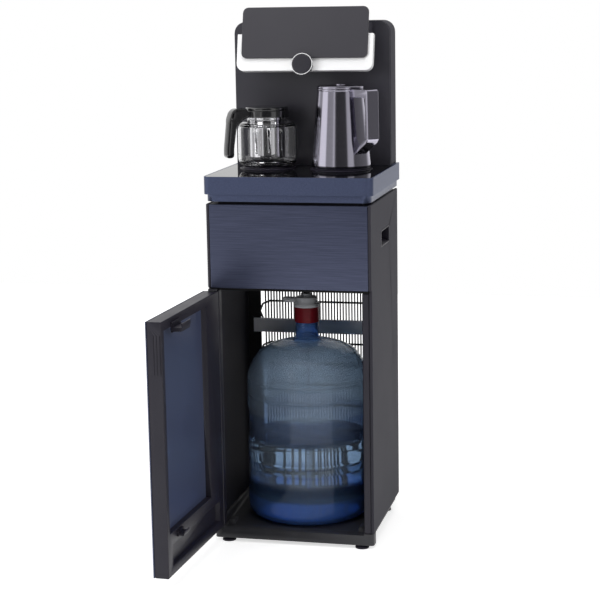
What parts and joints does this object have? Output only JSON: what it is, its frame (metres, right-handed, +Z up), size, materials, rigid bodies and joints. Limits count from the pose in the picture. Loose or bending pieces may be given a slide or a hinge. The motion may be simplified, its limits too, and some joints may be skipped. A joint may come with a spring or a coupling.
{
  "type": "water dispenser",
  "caption": "Floor-standing bottom-load water dispenser: tea counter with kettle and glass teapot under an overhanging head, open lower door, large bottle with suction tube.",
  "frame": {"origin": "on the floor under the centre of the whole object's box, with the door open as pictured", "axes": "+Z up, -Y out of the cabinet's front, +X to the right as seen from the front"},
  "size_m": [0.3814, 0.6573, 1.1366],
  "materials": {
    "graphite_shell": "fine matt texture",
    "black_plastic": "moulded, fine grain",
    "black_steel": "black coated sheet and wire",
    "brushed_blue": "horizontal brushed sheet, clear coated",
    "tray_blue": "satin metallic paint",
    "blue_panel": "satin sheet",
    "dark_glass": "polished, opaque dark",
    "control_gloss": "satin gloss",
    "white_gloss": "gloss",
    "chrome_trim": "bright",
    "kettle_metal": "tinted, polished",
    "infuser_steel": "bright",
    "clear_glass": "clear, polished",
    "bottle_plastic": "clear blue, glossy",
    "red_sleeve": "shrink film",
    "adapter_grey": "moulded",
    "tube_white": "moulded",
    "hose_rubber": "smooth"
  },
  "bodies": {
    "root": {"base_pan": "black_steel", "foot_front_left": "black_plastic", "foot_front_right": "black_plastic", "foot_rear_left": "black_plastic", "foot_rear_right": "black_plastic", "side_left": "graphite_shell", "side_right": "graphite_shell", "grip_left": "black_plastic", "grip_right": "black_plastic", "post_left": "black_plastic", "post_right": "black_plastic", "shelf": "black_steel", "housing_top": "black_plastic", "front_panel": "brushed_blue", "suction_hose": "hose_rubber", "pump": "black_plastic", "compressor": "black_steel", "cold_tank": "tube_white", "back_lower": "black_steel", "back_upper": "black_steel", "cord_gland": "black_plastic", "crossbar": "black_steel", "condenser_wires_front": "black_steel", "condenser_wires_rear": "black_steel", "condenser_pipe": "black_steel", "tray": "tray_blue", "glass_top": "dark_glass", "power_base": "black_plastic", "warming_plate": "black_plastic", "backsplash_shell": "graphite_shell", "backsplash_panel": "graphite_shell", "control_plate": "control_gloss", "head_band": "white_gloss", "head_housing": "graphite_shell", "spout_left": "black_plastic", "spout_right": "black_plastic", "hinge_bracket_top": "black_steel", "hinge_bracket_bottom": "black_steel"},
    "control_knob": {"knob": "control_gloss", "knob_ring": "chrome_trim"},
    "door": {"door_frame": "black_plastic", "door_skin": "brushed_blue", "door_inner_panel": "blue_panel", "hinge_pin_top": "black_steel", "hinge_pin_bottom": "black_steel", "door_latch": "black_plastic", "door_catch": "black_plastic"},
    "water_bottle": {"bottle": "bottle_plastic", "neck_sleeve": "red_sleeve", "adapter": "adapter_grey", "suction_tube": "tube_white"},
    "kettle": {"kettle_foot": "black_plastic", "kettle_body": "kettle_metal", "kettle_handle": "kettle_metal"},
    "kettle_cover": {"kettle_lid": "kettle_metal"},
    "teapot": {"teapot_glass": "clear_glass", "teapot_handle": "black_plastic"},
    "teapot_cover": {"teapot_lid": "black_plastic", "infuser": "infuser_steel"}
  },
  "joints": [
    {"name": "door_swing", "type": "hinge", "parent": "root", "child": "door", "pos_m": [-0.15376, 0.00698, 0.3], "axis": [0, 0, -1], "range_deg": [-92.65, 12]},
    {"name": "bottle_out", "type": "slide", "parent": "root", "child": "water_bottle", "axis": [0, -1, 0], "range_m": [0, 0.3]},
    {"name": "knob_turn", "type": "hinge", "parent": "root", "child": "control_knob", "pos_m": [0.01074, 0.18031, 1.01446], "axis": [0, -0.9703, 0.2419], "range_deg": [-150, 150]},
    {"name": "kettle_draw", "type": "slide", "parent": "root", "child": "kettle", "axis": [0, -1, 0], "range_m": [0, 0.16]},
    {"name": "kettle_lid_hinge", "type": "hinge", "parent": "kettle", "child": "kettle_cover", "pos_m": [0.13131, 0.14881, 0.9658], "axis": [0.6225, 0.7826, 0], "range_deg": [0, 12]},
    {"name": "teapot_draw", "type": "slide", "parent": "root", "child": "teapot", "axis": [0, -1, 0], "range_m": [0, 0.16]},
    {"name": "teapot_lid_lift", "type": "slide", "parent": "teapot", "child": "teapot_cover", "axis": [0, 0, 1], "range_m": [0, 0.055]}
  ]
}
